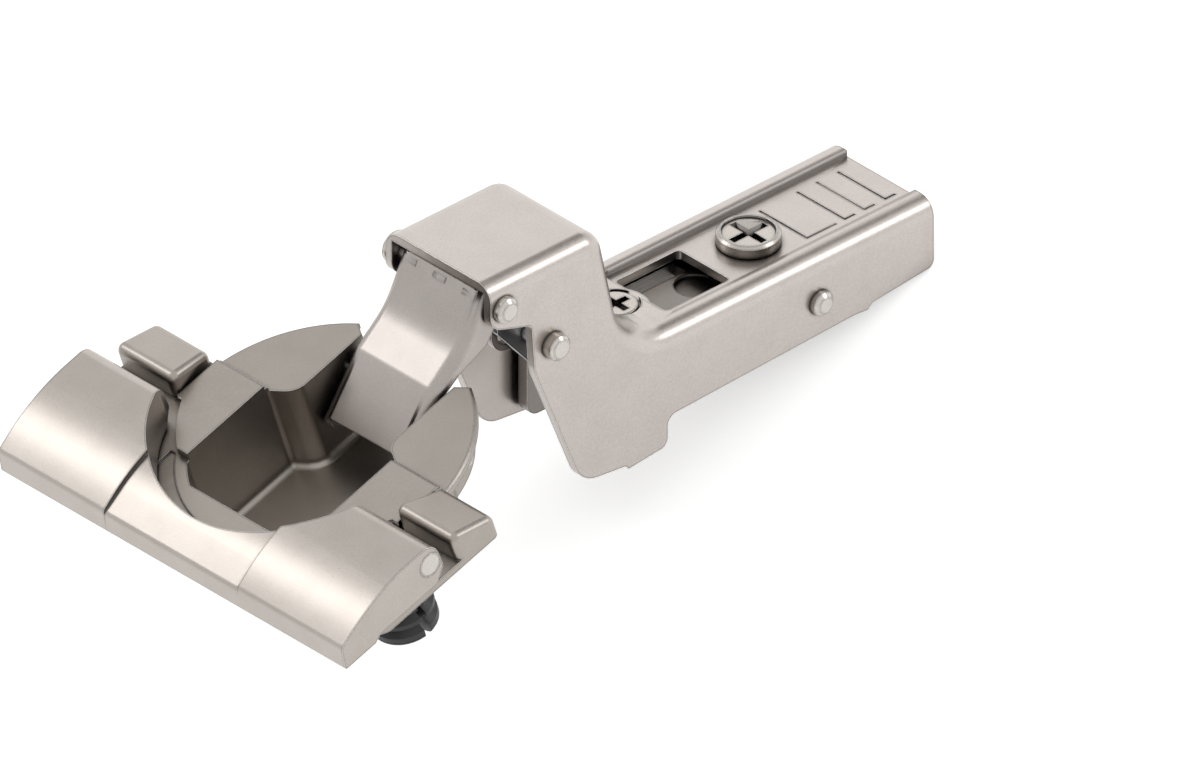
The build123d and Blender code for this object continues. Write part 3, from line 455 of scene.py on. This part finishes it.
latch_low, latch_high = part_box("latch_spring")
latch_width = latch_high.y - latch_low.y
coil = grown("latch_coil", coil_tree(), spring_metal, "carrier", "spring_steel", ("latch_spring",),
             Height=latch_width - 2 * COIL_SIZES["Wire"])
coil.data.transform(Matrix.Translation((latch_low + latch_high) / 2))
finished("latch_lever", "latch_lever", channel_metal)

# The adjusters. Cold-headed steel screws with cross recesses, plated. The large one is an eccentric held in
# the roof.

SCREW_COLOUR = (0.5, 0.465, 0.43)
screw_metal = plated("plated_screw_steel", SCREW_COLOUR, 0.28, depth=BRIGHT_DEPTH, groove=0.9, room=0.85)
finished("depth_cam", "depth_cam", screw_metal)
finished("side_screw", "side_screw", screw_metal)

# The floor. A pale sheet under the hinge, far wider than its shadow, which reads as the white background.

FLOOR_COLOUR = (0.86, 0.86, 0.86)
FLOOR_GAP = 0.3 * MM
FLOOR_HALF = 1.2
FLOOR_GLOW = 0.5


def paint(name, colour):
    """Dull paint of a sheet in the studio."""
    material = bpy.data.materials.new(name)
    material.use_nodes = True
    shader = material.node_tree.nodes["Principled BSDF"].inputs
    shader["Base Color"].default_value = (*colour, 1)
    shader["Roughness"].default_value = 0.9
    return material


def sheet(name, half_x, half_y, height, material):
    """Flat rectangle about the upright axis."""
    mesh = bpy.data.meshes.new(name)
    corners = [(-half_x, -half_y, height), (half_x, -half_y, height),
               (half_x, half_y, height), (-half_x, half_y, height)]
    mesh.from_pydata(corners, [], [(0, 1, 2, 3)])
    mesh.materials.append(material)
    flat = bpy.data.objects.new(name, mesh)
    bpy.context.scene.collection.objects.link(flat)
    return flat


def watched(tree):
    """One where a ray from the camera, a gloss or a glass arrives, and otherwise nought."""
    ray = step(tree, "ShaderNodeLightPath", {})
    either = worked(tree, ray["Is Camera Ray"], ray["Is Glossy Ray"], "MAXIMUM")
    return worked(tree, either, ray["Is Transmission Ray"], "MAXIMUM")


floor_paint = paint("pale_floor", FLOOR_COLOUR)
floor_tree = floor_paint.node_tree
floor_shader = floor_tree.nodes["Principled BSDF"].inputs
floor_shader["Emission Color"].default_value = (1, 1, 1, 1)
floor_glow = step(floor_tree, "ShaderNodeMapRange", {"Value": watched(floor_tree), "To Max": FLOOR_GLOW})
floor_tree.links.new(floor_glow["Result"], floor_shader["Emission Strength"])
floor = sheet("floor", FLOOR_HALF, FLOOR_HALF, cad_low.z - FLOOR_GAP, floor_paint)

# The light. A white surround, a long lamp behind the lid, a broad one behind the arm and a small one to its
# right. A grey card beyond the arm darkens the bend between its box and its rear roof.

SURROUND_LIGHT = 0.75
SURROUND_LOOK = 1.0
LAMP_DISTANCE = 0.6
CARD_DISTANCE = 0.5
CARD_COLOUR = (0.1, 0.095, 0.09)
middle = (cad_low + cad_high) / 2
world = bpy.data.worlds.new("studio")
bpy.context.scene.world = world
world.use_nodes = True
world_tree = world.node_tree
surround = world_tree.nodes["Background"].inputs
surround["Color"].default_value = (1, 1, 1, 1)
level = step(world_tree, "ShaderNodeMapRange", {"Value": watched(world_tree), "To Min": SURROUND_LIGHT,
                                                "To Max": SURROUND_LOOK})
world_tree.links.new(level["Result"], surround["Strength"])


def facing(direction, distance):
    """Place and turn of something that faces the middle of the hinge from a direction."""
    aim = Vector(direction).normalized()
    return Matrix.Translation(middle + aim * distance) @ aim.to_track_quat("Z", "Y").to_matrix().to_4x4()


def lamp(name, direction, size, power):
    """Rectangular soft lamp that faces the middle of the hinge."""
    data = bpy.data.lights.new(name, "AREA")
    data.shape = "RECTANGLE"
    data.size, data.size_y = size
    data.energy = power
    lit = bpy.data.objects.new(name, data)
    bpy.context.scene.collection.objects.link(lit)
    lit.matrix_world = facing(direction, LAMP_DISTANCE)


lamp("shoulder_lamp", (-0.24, 0.62, 0.74), (0.12, 0.3), 0.36)
lamp("top_lamp", (0.72, 0.62, 0.33), (0.35, 0.35), 0.16)
lamp("bend_lamp", (0.74, -0.54, 0.4), (0.2, 0.2), 0.4)

card = sheet("bend_card", 0.15, 0.06, 0, paint("grey_card", CARD_COLOUR))
card.matrix_world = facing((0.78, 0.22, 0.56), CARD_DISTANCE)
for ray in ("camera", "diffuse", "shadow", "transmission"):
    setattr(card, "visible_" + ray, False)

# The camera. It looks down on the hinge from the front left, square to nothing, with parallel rays.

VIEW_RIGHT = Vector((0.6941, -0.6816, -0.2317))
VIEW_UP = Vector((0.6146, 0.3936, 0.6836))
VIEW_WIDTH = 134.92 * MM
VIEW_MIDDLE = Vector((26.65, -19.34, -1.81)) * MM
VIEW_DISTANCE = 0.6
right = VIEW_RIGHT.normalized()
back = right.cross(VIEW_UP).normalized()
up = back.cross(right)
turned = Matrix((right, up, back)).transposed().to_4x4()
camera_data = bpy.data.cameras.new("camera")
camera_data.type = "ORTHO"
camera_data.ortho_scale = VIEW_WIDTH
camera_data.clip_start, camera_data.clip_end = 0.01, 10
camera = bpy.data.objects.new("camera", camera_data)
bpy.context.scene.collection.objects.link(camera)
camera.matrix_world = Matrix.Translation(VIEW_MIDDLE + back * VIEW_DISTANCE) @ turned
bpy.context.scene.camera = camera
bpy.context.scene.view_settings.view_transform = "Standard"
